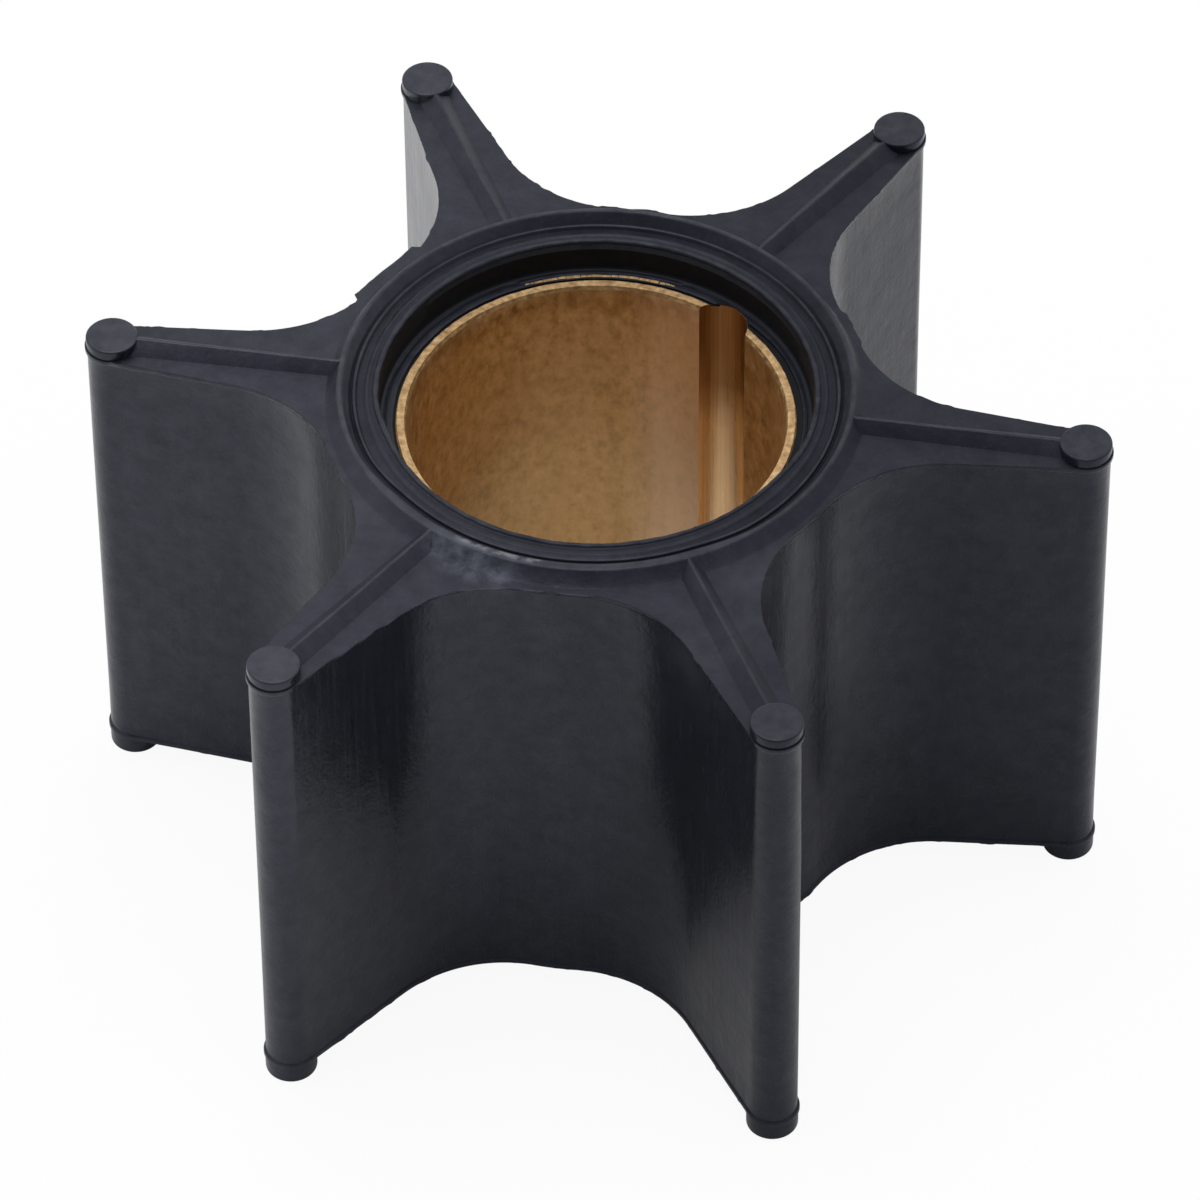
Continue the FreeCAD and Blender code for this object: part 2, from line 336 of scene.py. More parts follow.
def vane_ring_skin():
    """Walls, end faces, sealing rings and the seat of the bush as one closed skin."""
    bm = bmesh.new()
    star_outline(bm)
    outwards = outward_normals(bm)
    levels = wall_levels()
    row = bm.edges[:]
    lowest_row = row
    for low, high in zip(levels, levels[1:]):
        made = bmesh.ops.extrude_edge_only(bm, edges=row)
        fresh = [item for item in made["geom"] if isinstance(item, bmesh.types.BMVert)]
        bmesh.ops.translate(bm, verts=fresh, vec=(0.0, 0.0, high - low))
        row = [edge for edge in made["geom"] if isinstance(edge, bmesh.types.BMEdge)
               and all(vert.co.z > high - 0.001 for vert in edge.verts)]
    for vert in bm.verts:
        out = outwards[place_key(vert.co)]
        sway = 0.035 * ripple(Vector((vert.co.x, vert.co.y, vert.co.z * 0.35)), 7.0, 11.0)
        near_face = min(vert.co.z - UNDERSIDE, TOP_FACE - vert.co.z)
        vert.co += out * (proud_at(vert.co) + sway * ramp(near_face, 0.5, 3.0))
    rims = (lowest_row, row)

    section = bmesh.new()
    chain(section, ring_section())
    revolve(section)
    draw_back_rings(section)
    swing_skin(section)
    carve_ledges(section)
    before = set(bm.edges)
    pour(section, bm)
    ring_edges = [edge for edge in bm.edges if edge not in before and edge.is_boundary]
    for rim, level in zip(rims, (UNDERSIDE, TOP_FACE)):
        inner = [edge for edge in ring_edges if abs(edge.verts[0].co.z - level) < 0.01]
        bmesh.ops.triangle_fill(bm, edges=rim + inner, use_beauty=True, use_dissolve=False,
                                normal=Z_AXIS)
    return to_piece(bm, "rubber_moulding")


def face_section():
    """Sealing rings at one end as radius and height over the face, from the lip's foot inwards."""
    return ((LIP_FOOT, 0.0), (19.5, 0.12), (18.98, 0.72), (18.9, 0.81), (18.8, 0.845), (18.66, 0.845),
            (18.56, 0.8), (18.45, 0.68), (18.05, 0.2), (17.97, 0.1), (17.9, 0.06), (17.84, 0.09),
            (17.8, 0.2), (17.76, 0.275), (17.68, 0.3), (17.58, 0.27), (17.49, 0.12), (17.42, 0.04),
            (17.34, 0.04), (17.1, 0.09), (16.92, 0.13), (16.86, 0.19), (16.79, 0.22), (16.7, 0.215),
            (16.62, 0.18), (16.52, 0.15), (16.42, 0.14), (16.35, 0.16), (16.3, 0.24), (16.24, 0.285),
            (16.1, 0.295), (16.0, 0.28), (15.92, 0.21), (15.88, 0.12), (15.86, 0.04))


def ring_section():
    """The moulding's inner skin in section: upper rings, recess, seat of the bush, lower rings."""
    upper = [on_plane(radius, TOP_FACE + height) for radius, height in face_section()]
    lower = [on_plane(radius, UNDERSIDE - height) for radius, height in face_section()]
    slack = 0.01
    recess = [on_plane(RECESS, TOP_FACE - 0.2), on_plane(RECESS, BUSH_TOP + 0.24),
              on_plane(RECESS - 0.03, BUSH_TOP + 0.13), on_plane(RECESS - 0.1, BUSH_TOP + 0.05)]
    ledge = [on_plane(RECESS - 0.2 - 0.06 * step, BUSH_TOP) for step in range(14)]
    edge = [on_plane(LEDGE_EDGE, BUSH_TOP - 0.06), on_plane(LEDGE_EDGE, BUSH_TOP - 0.19),
            on_plane(RIM + 0.03, BUSH_TOP - 0.19), on_plane(RIM + 0.03, BUSH_TOP - GROOVE_DROP + slack)]
    lap = [on_plane(LAND_EDGE - slack, BUSH_TOP - GROOVE_DROP + slack),
           on_plane(LAND_EDGE - slack, BUSH_TOP - LAND_DROP + slack),
           on_plane(LAND_OUTER, BUSH_TOP - LAND_DROP + slack),
           on_plane(SEAT + slack, BUSH_TOP - SHOULDER_DROP + slack)]
    top = recess + ledge + edge + lap
    turned_over = [on_plane(point.x, TOP_FACE + UNDERSIDE - point.z) for point in reversed(top)]
    return upper + top + turned_over + list(reversed(lower))


def draw_back_rings(bm):
    """Shift the upper rings towards the back, and draw the lip's crest and the mouth in at the front."""
    for vert in bm.verts:
        if vert.co.z < TOP_FACE + 0.02:
            continue
        azimuth = azimuth_of(vert.co)
        radius = radius_of(vert.co)
        front = between(azimuth, -130.0, -60.0, 20.0)
        mouth = between(azimuth, -150.0, -30.0, 22.0) * (1.0 - ramp(radius, 16.3, 17.1))
        ragged = 0.05 * (1.0 - ramp(radius, 16.0, 17.2)) * ripple(vert.co, 0.5, 41.0)
        lean = RING_LEAN * (front * between(radius, 17.6, 18.5, 0.3) + mouth) + ragged
        share = 1.0 - ramp(radius, LIP_CREST, LIP_FOOT)
        scale_radius(vert, 1.0 - lean / radius)
        vert.co += RING_SHIFT * share


def skin_swing(place):
    """How far the skin over the bush's end stands back from the rim: most at one side."""
    wide = 0.3 * between(azimuth_of(place), -42.0, 36.0, 24.0)
    return wide + 0.03 * ripple(place, 0.8, 15.0) + 0.02 * ripple(place, 3.0, 16.0)


def swing_skin(bm):
    """Draw the ends of the skin and of the groove under it back by the same amount."""
    for vert in bm.verts:
        radius = radius_of(vert.co)
        if not LEDGE_EDGE - 0.001 < radius < LAND_OUTER:
            continue
        top = vert.co.z > MID_HEIGHT
        place = polar(LEDGE_EDGE, azimuth_of(vert.co), BUSH_TOP if top else BUSH_FOOT)
        keep = 1.0 - skin_swing(place) / (LAND_OUTER - LEDGE_EDGE)
        drawn = LAND_OUTER - (LAND_OUTER - radius) * keep
        scale_radius(vert, drawn / radius)


def carve_ledges(bm):
    """Seam line and slight crown in the thin skin over the bush's end."""
    for vert in bm.verts:
        radius = radius_of(vert.co)
        top = vert.co.z > MID_HEIGHT
        depth = BUSH_TOP - vert.co.z if top else vert.co.z - BUSH_FOOT
        if not (LEDGE_EDGE + 0.02 < radius < RECESS - 0.15 and abs(depth) < 0.01):
            continue
        torn = between(azimuth_of(vert.co), 76.0, 121.0, 2.0) if top else 0.0
        line = 15.5 - 0.24 * torn + 0.03 * ripple(vert.co, 2.5, 14.0)
        groove = 0.1 * math.exp(-((radius - line) / 0.055) ** 2)
        crown = 0.03 * between(radius, 14.95, 15.25, 0.1)
        vert.co.z += crown - groove if top else groove - crown


def end_rib(bm, face, side):
    """A rib along one vane end, nearly triangular in section, from the lip to the nub."""
    sunk = -0.25
    points = ((-RIB_FOOT, sunk), (-RIB_FOOT, 0.0), (-RIB_CREST, RIB_HEIGHT),
              (RIB_CREST, RIB_HEIGHT), (RIB_FOOT, 0.0), (RIB_FOOT, sunk))
    corners = [bm.verts.new((RIB_START, across, face + side * up)) for across, up in points]
    start = bm.faces.new(corners)
    made = bmesh.ops.extrude_face_region(bm, geom=[start])
    for vert in made["geom"]:
        if isinstance(vert, bmesh.types.BMVert):
            vert.co.x = BEAD_CIRCLE
            if abs(vert.co.y) > RIB_CREST * 2:
                vert.co.y *= RIB_FAR_FOOT / RIB_FOOT


def end_ribs():
    """The ribs at both ends of every vane, with worn crests."""
    bm = bmesh.new()
    for face, side in ((TOP_FACE, 1), (UNDERSIDE, -1)):
        fresh = bmesh.new()
        end_rib(fresh, face, side)
        long_edges = [edge for edge in fresh.edges
                      if abs(edge.verts[0].co.x - edge.verts[1].co.x) > 1.0]
        bmesh.ops.subdivide_edges(fresh, edges=long_edges, cuts=40)
        crests = [edge for edge in fresh.edges
                  if all((vert.co.z - face) * side > RIB_HEIGHT / 2 for vert in edge.verts)
                  and abs(edge.verts[0].co.x - edge.verts[1].co.x) > 0.1]
        bmesh.ops.bevel(fresh, geom=crests, offset=0.07, offset_type="OFFSET", segments=2,
                        profile=0.5, affect="EDGES", material=-1)
        bmesh.ops.spin(fresh, geom=fresh.verts[:] + fresh.edges[:] + fresh.faces[:], cent=(0, 0, 0),
                       axis=Z_AXIS, dvec=(0, 0, 0), angle=math.radians(VANE_STEP * (VANES - 1)),
                       steps=VANES - 1, use_merge=False, use_normal_flip=False, use_duplicate=True)
        pour(fresh, bm)
    for vert in bm.verts:
        top = vert.co.z > MID_HEIGHT
        if top and radius_of(vert.co) < LIP_CREST:
            vert.co += RING_SHIFT
        height = vert.co.z - TOP_FACE if top else UNDERSIDE - vert.co.z
        if height > RIB_HEIGHT / 2:
            drop = 0.02 + 0.03 * abs(ripple(vert.co, 1.5, 21.0))
            vert.co.z -= drop if top else -drop
            sideways = Vector((-vert.co.y, vert.co.x, 0.0)).normalized()
            vert.co += sideways * 0.03 * ripple(vert.co, 4.0, 22.0)
    return to_piece(bm, "ribs")


def nub_section(face, end, side):
    """A nub in section, from the middle of its end to its foot inside the bead."""
    tall = (end - face) * side
    return [on_plane(radius, face + side * height) for radius, height in (
        (0.0, tall), (1.76, tall), (1.815, tall - 0.01), (1.865, tall - 0.035), (1.9, tall - 0.08),
        (1.915, tall - 0.14), (1.92, tall - 0.22), (1.92, 0.08), (1.9, -0.04), (1.6, -0.3),
        (0.0, -0.3))]


def end_nubs():
    """The nubs that stand on both ends of every vane."""
    bm = bmesh.new()
    for face, end, side in ((TOP_FACE, HIGHEST, 1), (UNDERSIDE, LOWEST, -1)):
        for index in range(VANES):
            fresh = bmesh.new()
            chain(fresh, nub_section(face, end, side))
            revolve(fresh, steps=56)
            bmesh.ops.remove_doubles(fresh, verts=fresh.verts[:], dist=0.0005)
            bmesh.ops.translate(fresh, verts=fresh.verts[:],
                                vec=polar(BEAD_CIRCLE, index * VANE_STEP))
            pour(fresh, bm)
    return to_piece(bm, "nubs")


def key_cutter(radius):
    """An upright round bar that cuts the keyway."""
    bm = bmesh.new()
    bmesh.ops.create_cone(bm, cap_ends=True, segments=96, radius1=radius, radius2=radius,
                          depth=KEY_CUTTER_LENGTH)
    bmesh.ops.translate(bm, verts=bm.verts[:], vec=polar(KEY_REACH, KEY_ANGLE, KEY_CUTTER_MIDDLE))
    return to_piece(bm, "key_cutter")


def rubber_moulding():
    """The whole moulding: its skin, notched by the keyway, with nubs and ribs joined on."""
    piece = vane_ring_skin()
    combine(piece, key_cutter(KEY_RADIUS + 0.01), "DIFFERENCE")
    combine(piece, end_nubs(), "UNION")
    combine(piece, end_ribs(), "UNION")
    settle_shading(piece)
    return piece


def in_painted_shade(face):
    """True on the walls of the two recesses, and in the gap between the skin and the rim: the faces
    painted dark as shade.
    """
    middle = face.center / MM
    radius = radius_of(middle)
    in_recess = (BUSH_TOP + 0.05 < middle.z < TOP_FACE + 0.1
                 or UNDERSIDE - 0.1 < middle.z < BUSH_FOOT - 0.05)
    under_skin = BUSH_FOOT + 0.04 < middle.z < BUSH_TOP - 0.04
    if in_recess and abs(radius - RECESS) < 0.45:
        return True
    return under_skin and radius < LEDGE_EDGE + 0.5


# Bronze bush

def turned_bush():
    """The turned bush: bright faced rim, chamfered bore, hidden shoulder and one keyway."""
    bm = bmesh.new()
    top = [on_plane(BORE, BUSH_TOP - CHAMFER_HEIGHT - 0.02),
           on_plane(BORE + 0.02, BUSH_TOP - CHAMFER_HEIGHT + 0.02),
           on_plane(BORE + CHAMFER_WIDTH, BUSH_TOP),
           on_plane(RIM - 0.06, BUSH_TOP), on_plane(RIM - 0.02, BUSH_TOP - 0.015),
           on_plane(RIM, BUSH_TOP - 0.05), on_plane(RIM, BUSH_TOP - GROOVE_DROP),
           on_plane(LAND_EDGE, BUSH_TOP - GROOVE_DROP), on_plane(LAND_EDGE, BUSH_TOP - LAND_DROP),
           on_plane(LAND_OUTER, BUSH_TOP - LAND_DROP), on_plane(SEAT, BUSH_TOP - SHOULDER_DROP)]
    foot = [on_plane(point.x, BUSH_TOP + BUSH_FOOT - point.z) for point in reversed(top)]
    bore_low, bore_high = foot[-1], top[0]
    rows = 14
    bore = [bore_low.lerp(bore_high, step / rows) for step in range(1, rows)]
    chain(bm, top + foot + bore + [top[0]])
    bmesh.ops.remove_doubles(bm, verts=bm.verts[:], dist=0.0005)
    revolve(bm)
    swing_skin(bm)
    wear_rim(bm)
    piece = to_piece(bm, "turned_bush")
    combine(piece, key_cutter(KEY_RADIUS), "DIFFERENCE")
    settle_shading(piece)
    return piece


def wear_rim(bm):
    """Small dents along the outer edge of the faced rim."""
    for vert in bm.verts:
        radius = radius_of(vert.co)
        if RIM - 0.07 < radius < RIM + 0.01:
            dent = 0.05 * max(0.0, ripple(vert.co, 0.5, 31.0) + 0.1)
            dent += 0.02 * ripple(vert.co, 2.0, 32.0)
            scale_radius(vert, 1.0 - dent / radius)


def is_key_face(face):
    """True where a face of the bush is the wall of the keyway."""
    middle = face.center / MM - polar(KEY_REACH, KEY_ANGLE)
    return abs(radius_of(middle) - KEY_RADIUS) < 0.02 and abs(face.normal.z) < 0.3


def is_rim_face(face):
    """True on the faced ends and the chamfer of the bore."""
    return abs(face.normal.z) > 0.2


def finish_bush(piece, bore, rim, key):
    """Give the bore, the faced ends and the keyway their own finish."""
    piece.data.materials.clear()
    for material in (bore, rim, key):
        piece.data.materials.append(material)
    for face in piece.data.polygons:
        if is_key_face(face):
            face.material_index = 2
        elif is_rim_face(face):
            face.material_index = 1
        else:
            face.material_index = 0


def bared_bronze():
    """Slivers of the bush's shoulder that show through the torn skin beside the keyway."""
    bm = bmesh.new()
    azimuth, last = TORN_SKIN
    index = 0
    while azimuth < last:
        fade = 0.5 + 0.5 * between(azimuth, 82.0, 113.0, 5.0)
        swing = fade * (1.6 + 5.0 * abs(noise.noise(Vector((index * 1.7, 2.3, 0.4)))))
        breadth = fade * (0.14 + 0.07 * noise.noise(Vector((index * 2.1, 5.3, 0.9))))
        middle = SLIVER_RADIUS + 0.04 * noise.noise(Vector((index * 0.9, 1.3, 4.4)))
        sliver = bmesh.new()
        profile = ((-1.0, -0.12), (-0.85, 0.035), (-0.6, 0.045), (0.6, 0.045), (0.85, 0.035),
                   (1.0, -0.12), (-1.0, -0.12))
        chain(sliver, [on_plane(middle + breadth * across, BUSH_TOP + rise)
                       for across, rise in profile])
        bmesh.ops.remove_doubles(sliver, verts=sliver.verts[:], dist=0.0005)
        bmesh.ops.rotate(sliver, verts=sliver.verts[:], cent=(0, 0, 0),
                         matrix=Matrix.Rotation(math.radians(azimuth), 3, "Z"))
        start = bmesh.ops.contextual_create(sliver, geom=sliver.edges[:])["faces"]
        made = bmesh.ops.spin(sliver, geom=start, cent=(0, 0, 0), axis=Z_AXIS, dvec=(0, 0, 0),
                              angle=math.radians(swing), steps=max(2, round(swing * 2)),
                              use_merge=False, use_normal_flip=False, use_duplicate=False)
        pour(sliver, bm)
        azimuth += swing + 0.12 + (1.3 - fade) * abs(noise.noise(Vector((index * 1.3, 7.7, 3.1))))
        index += 1
    piece = to_piece(bm, "bared_bronze")
    settle_shading(piece)
    return piece


# Materials

def give(tree, value, socket):
    """Feed a socket with another node's output, a colour or a number."""
    if isinstance(value, bpy.types.NodeSocket):
        tree.links.new(value, socket)
    elif isinstance(value, tuple):
        socket.default_value = (*value, 1.0)
    else:
        socket.default_value = value


def math_node(tree, operation, first, second):
    """One sum over two inputs, each a number or another node's output."""
    made = tree.nodes.new("ShaderNodeMath")
    made.operation = operation
    give(tree, first, made.inputs[0])
    give(tree, second, made.inputs[1])
    return made.outputs[0]


class Finish:
    """A material under its plain shader, with short calls for the nodes that feed it."""

    def __init__(self, name, **sockets):
        self.material = bpy.data.materials.new(name)
        self.material.use_nodes = True
        self.tree = self.material.node_tree
        self.shader = self.tree.nodes["Principled BSDF"]
        for socket, value in sockets.items():
            self.shader.inputs[socket.replace("_", " ")].default_value = value

    def node(self, kind, **settings):
        """A new node with its settings."""
        made = self.tree.nodes.new(kind)
        for name, value in settings.items():
            setattr(made, name, value)
        return made

    def link(self, source, target):
        """Join an output to an input."""
        self.tree.links.new(source, target)

    def grain(self, size_mm, detail=3.0, stretch=(1, 1, 1), roughness=0.55):
        """Noise over the object, with bumps about as wide as the size."""
        place = self.node("ShaderNodeTexCoord")
        mapping = self.node("ShaderNodeMapping")
        mapping.inputs["Scale"].default_value = stretch
        self.link(place.outputs["Object"], mapping.inputs["Vector"])
        made = self.node("ShaderNodeTexNoise")
        made.inputs["Scale"].default_value = 1.0 / (size_mm * MM)
        made.inputs["Detail"].default_value = detail
        made.inputs["Roughness"].default_value = roughness
        self.link(mapping.outputs["Vector"], made.inputs["Vector"])
        return made.outputs["Fac"]

    def spread(self, source, low, high, from_low=0.3, from_high=0.7):
        """Map a noise to a range of values."""
        made = self.node("ShaderNodeMapRange")
        made.inputs["From Min"].default_value = from_low
        made.inputs["From Max"].default_value = from_high
        made.inputs["To Min"].default_value = low
        made.inputs["To Max"].default_value = high
        self.link(source, made.inputs["Value"])
        return made.outputs["Result"]

    def shades(self, source, *stops):
        """Colours along a noise, each stop a place and a colour."""
        made = self.node("ShaderNodeValToRGB")
        band = made.color_ramp
        while len(band.elements) < len(stops):
            band.elements.new(0.5)
        for element, (place, colour) in zip(band.elements, stops):
            element.position = place
            element.color = (*colour, 1.0)
        self.link(source, made.inputs["Fac"])
        return made.outputs["Color"]

    def mix(self, share, first, second):
        """Two colours mixed by a share, on the sockets that a mix node has for colours."""
        made = self.node("ShaderNodeMix", data_type="RGBA")
        give(self.tree, share, made.inputs[0])
        give(self.tree, first, made.inputs[6])
        give(self.tree, second, made.inputs[7])
        return made.outputs[2]

    def mix_numbers(self, share, first, second):
        """Two numbers mixed by a share, on the sockets that a mix node has for numbers."""
        made = self.node("ShaderNodeMix", data_type="FLOAT")
        give(self.tree, share, made.inputs[0])
        give(self.tree, first, made.inputs[2])
        give(self.tree, second, made.inputs[3])
        return made.outputs[0]

    def sums(self, operation, first, second):
        """One sum over two inputs."""
        return math_node(self.tree, operation, first, second)

    def upright(self):
        """1 on upright walls and 0 on level faces."""
        place = self.node("ShaderNodeNewGeometry")
        split = self.node("ShaderNodeSeparateXYZ")
        self.link(place.outputs["Normal"], split.inputs["Vector"])
        level = self.sums("ABSOLUTE", split.outputs["Z"], 0.0)
        return self.spread(level, 1.0, 0.0, 0.25, 0.6)

    def place_axes(self):
        """The three coordinates of a point of the object, in metres."""
        split = self.node("ShaderNodeSeparateXYZ")
        self.link(self.node("ShaderNodeTexCoord").outputs["Object"], split.inputs["Vector"])
        return split.outputs

    def round_band(self, start, end, soft, noise_over):
        """1 between two azimuths in degrees round the shaft, with a soft uneven margin."""
        place = self.place_axes()
        azimuth = self.sums("ARCTAN2", place["Y"], place["X"])
        uneven = self.spread(noise_over, -0.2 * math.radians(soft), 0.2 * math.radians(soft))
        turned = self.sums("ADD", azimuth, uneven)
        rise = self.spread(turned, 0.0, 1.0, math.radians(start - soft), math.radians(start))
        fall = self.spread(turned, 1.0, 0.0, math.radians(end), math.radians(end + soft))
        return self.sums("MULTIPLY", rise, fall)

    def patches(self, noise_over, places):
        """Marks round a few places on the top face, each a radius, an azimuth and a reach."""
        total = 0.0
        where = self.node("ShaderNodeTexCoord").outputs["Object"]
        for radius, azimuth, reach in places:
            apart = self.node("ShaderNodeVectorMath", operation="DISTANCE")
            self.link(where, apart.inputs[0])
            apart.inputs[1].default_value = polar(radius, azimuth, TOP_FACE) * MM
            near = self.spread(apart.outputs["Value"], 1.0, 0.0, 0.2 * reach * MM, reach * MM)
            total = self.sums("MAXIMUM", near, total)
        return self.sums("MULTIPLY", total, self.spread(noise_over, 0.1, 0.9, 0.38, 0.62))

    def bump(self, height, distance_mm, strength, under=None):
        """Small relief, on top of another relief where one is given."""
        made = self.node("ShaderNodeBump")
        made.inputs["Distance"].default_value = distance_mm * MM
        made.inputs["Strength"].default_value = strength
        self.link(height, made.inputs["Height"])
        if under is not None:
            self.link(under, made.inputs["Normal"])
        return made.outputs["Normal"]

    def feed(self, socket, source):
        """Link a source to a socket of the shader."""
        self.link(source, self.shader.inputs[socket])


def moulded_rubber():
    """Black rubber with a faint blue cast, mould streaks and dusty bloom down the walls, painted light
    and shade across the walls, and painted highlights and sheen on crests and the lip.
    """
    rubber = Finish("moulded_rubber", IOR=1.48, Specular_Tint=(0.75, 0.785, 1.0, 1.0))
    smears = rubber.grain(4.5, 4.0)
    blotches = rubber.grain(1.5, 5.0, roughness=0.7)
    specks = rubber.grain(0.35, 3.0)
    streaks = rubber.grain(0.45, 3.0, (1, 1, 0.045))
    broad = rubber.grain(3.0, 2.0, (1, 1, 0.12))
    wall = rubber.upright()
    place = rubber.place_axes()
    # The walls' bloom fades from -X to +X: painted light on that left side and painted shade on the
    # right, over real dusty bloom.
    painted_left_light = rubber.spread(place["X"], 1.0, 0.1, -20.0 * MM, 20.0 * MM)

    # Plain colour, with bloom in the streaks of the walls and pale specks.
    plain = rubber.shades(smears, (0.3, (0.0075, 0.008, 0.0122)), (0.7, (0.0118, 0.0125, 0.0185)))
    bloom = rubber.shades(streaks, (0.35, (0.009, 0.0094, 0.0138)), (0.75, (0.022, 0.0226, 0.029)))
    share = rubber.sums("MULTIPLY", wall, rubber.spread(broad, 0.0, 0.7))
    colour = rubber.mix(rubber.sums("MULTIPLY", share, painted_left_light), plain, bloom)
    speckle = rubber.spread(specks, 0.0, 0.35, 0.58, 0.78)
    speckled = rubber.mix(speckle, colour, (0.036, 0.037, 0.043))

    # Painted highlights on the crests of the ribs and the edges of the rings, and painted light on the
    # edge of the skin, broken up by noise.
    squares = rubber.sums("ADD", rubber.sums("POWER", place["X"], 2.0),
                          rubber.sums("POWER", place["Y"], 2.0))
    radius = rubber.sums("SQRT", squares, 0.0)
    inside_lip = rubber.spread(radius, 1.0, 0.0, 18.0 * MM, 18.3 * MM)
    skin_edge = rubber.spread(radius, 0.6, 0.0, 15.15 * MM, 15.6 * MM)
    crests = rubber.spread(place["Z"], 0.0, 1.0, (HIGHEST - 0.07) * MM, (HIGHEST - 0.03) * MM)
    ring_edges = rubber.spread(place["Z"], 0.0, 1.0, (TOP_FACE + 0.17) * MM, (TOP_FACE + 0.27) * MM)
    rings = rubber.sums("MAXIMUM", rubber.sums("MULTIPLY", ring_edges, inside_lip), skin_edge)
    worn = rubber.sums("MAXIMUM", crests, rings)
    crest_highlight_share = rubber.sums("MULTIPLY", worn, rubber.spread(rubber.grain(1.3, 3.0), 0.05, 0.55))
    crest_highlighted = rubber.mix(crest_highlight_share, speckled, (0.05, 0.052, 0.06))

    # One flank is lighter in streaks, and a few places on the top face are rubbed.
    one_flank = rubber.sums("MULTIPLY", rubber.round_band(122.5, 150.0, 2.0, broad),
                            rubber.spread(radius, 0.0, 1.0, 20.0 * MM, 24.0 * MM))
    lighter_flank_share = rubber.sums("MULTIPLY", rubber.sums("MULTIPLY", one_flank, wall),
                                rubber.spread(streaks, 0.3, 0.9, 0.3, 0.7))
    lighter_flank = rubber.mix(lighter_flank_share, crest_highlighted, (0.11, 0.11, 0.115))
    rubbed_faces = rubber.patches(smears, ((24.0, -46.0, 8.0), (23.0, -140.0, 7.0),
                                           (27.0, -66.0, 6.0)))
    faces = rubber.mix(rubber.sums("MULTIPLY", rubbed_faces, 0.6), lighter_flank, (0.045, 0.047, 0.055))
    # Painted sheen: a bluish lighter band along the lip's outer slope at the front, made uneven by
    # noise.
    torn = rubber.grain(1.1, 4.0, roughness=0.6)
    lip_sheen_share = rubber.patches(torn, ((18.9, -117.0, 1.7), (19.2, -112.0, 2.1), (19.4, -107.0, 2.1),
                                   (19.5, -101.5, 1.7)))
    lip_sheened = rubber.mix(lip_sheen_share, faces, (0.075, 0.081, 0.105))

    # A ragged painted highlight along the front of the lip's crest.
    crest_band = rubber.sums("MULTIPLY", rubber.spread(radius, 0.0, 1.0, 17.75 * MM, 17.95 * MM),
                             rubber.spread(radius, 1.0, 0.0, 18.25 * MM, 18.5 * MM))
    front_crest_place = rubber.sums("MULTIPLY", rubber.round_band(-112.0, -94.0, 3.0, blotches), crest_band)
    front_crest_highlight = rubber.sums("MULTIPLY", front_crest_place, rubber.spread(torn, 0.0, 1.0, 0.43, 0.57))
    rubber.feed("Base Color", rubber.mix(front_crest_highlight, lip_sheened, (0.14, 0.145, 0.165)))

    # Walls are smoother than the level faces, and shine less to one side and inside the lip.
    level_gloss = rubber.spread(smears, 0.38, 0.5)
    wall_gloss = rubber.spread(streaks, 0.21, 0.29)
    rubber.feed("Roughness", rubber.mix_numbers(wall, level_gloss, wall_gloss))
    shine = rubber.spread(blotches, 0.38, 0.6)
    side = rubber.spread(place["X"], 1.05, 0.6, -20.0 * MM, 15.0 * MM)
    side_shine = rubber.sums("MULTIPLY", shine, side)
    ring_shine = rubber.sums("MULTIPLY", side_shine, rubber.spread(inside_lip, 1.0, 0.62, 0.0, 1.0))
    rubber.feed("Specular IOR Level", ring_shine)

    # Relief: specks, then streaks down the walls, then broad smears.
    fine = rubber.bump(specks, 0.05, 0.4)
    drawn = rubber.bump(rubber.sums("MULTIPLY", streaks, wall), 0.03, 0.16, fine)
    soft = rubber.bump(smears, 0.3, 0.3, drawn)
    rubber.feed("Normal", soft)
    return rubber.material


def painted_shade_rubber():
    """The recess walls, where the mould's core left the rubber dull, and the gap by the rim, all painted
    dark as shade.
    """
    rubber = Finish("painted_shade_rubber", IOR=1.25, Specular_Tint=(0.86, 0.89, 1.0, 1.0))
    recess_grain = rubber.grain(0.6, 3.0)
    colour = rubber.shades(recess_grain, (0.35, (0.005, 0.0052, 0.006)), (0.75, (0.009, 0.0093, 0.0105)))
    rubber.feed("Base Color", colour)
    rubber.feed("Roughness", rubber.spread(recess_grain, 0.5, 0.65))
    rubber.feed("Normal", rubber.bump(recess_grain, 0.04, 0.3))
    return rubber.material


def bore_bronze():
    """Sintered bronze in the bore: brown and mottled, with a mottled band of painted light beside the
    keyway.
    """
    bronze = Finish("bore_bronze", Metallic=1.0)
    mottle = bronze.grain(0.8, 5.0, (1, 1, 0.7), roughness=0.68)
    clouds = bronze.grain(6.0, 2.0)
    rubs = bronze.grain(0.9, 3.0, (1, 1, 0.08))
    warm = bronze.shades(mottle, (0.34, (0.47, 0.3, 0.135)), (0.5, (0.7, 0.475, 0.225)),
                         (0.68, (0.88, 0.64, 0.35)))
    aged = bronze.mix(bronze.spread(clouds, 0.0, 0.45), warm, (0.58, 0.39, 0.185))
    # A lighter band beside the keyway: painted light.
    painted_light_band = bronze.round_band(64.0, 77.0, 14.0, rubs)
    painted_light_mottled = bronze.sums("MULTIPLY", painted_light_band, bronze.spread(mottle, 0.6, 1.0))
    bronze.feed("Base Color", bronze.mix(painted_light_mottled, aged, (1.0, 0.76, 0.54)))
    bronze.feed("Roughness", bronze.spread(mottle, 0.34, 0.52))
    bronze.feed("Normal", bronze.bump(mottle, 0.05, 0.35))
    return bronze.material


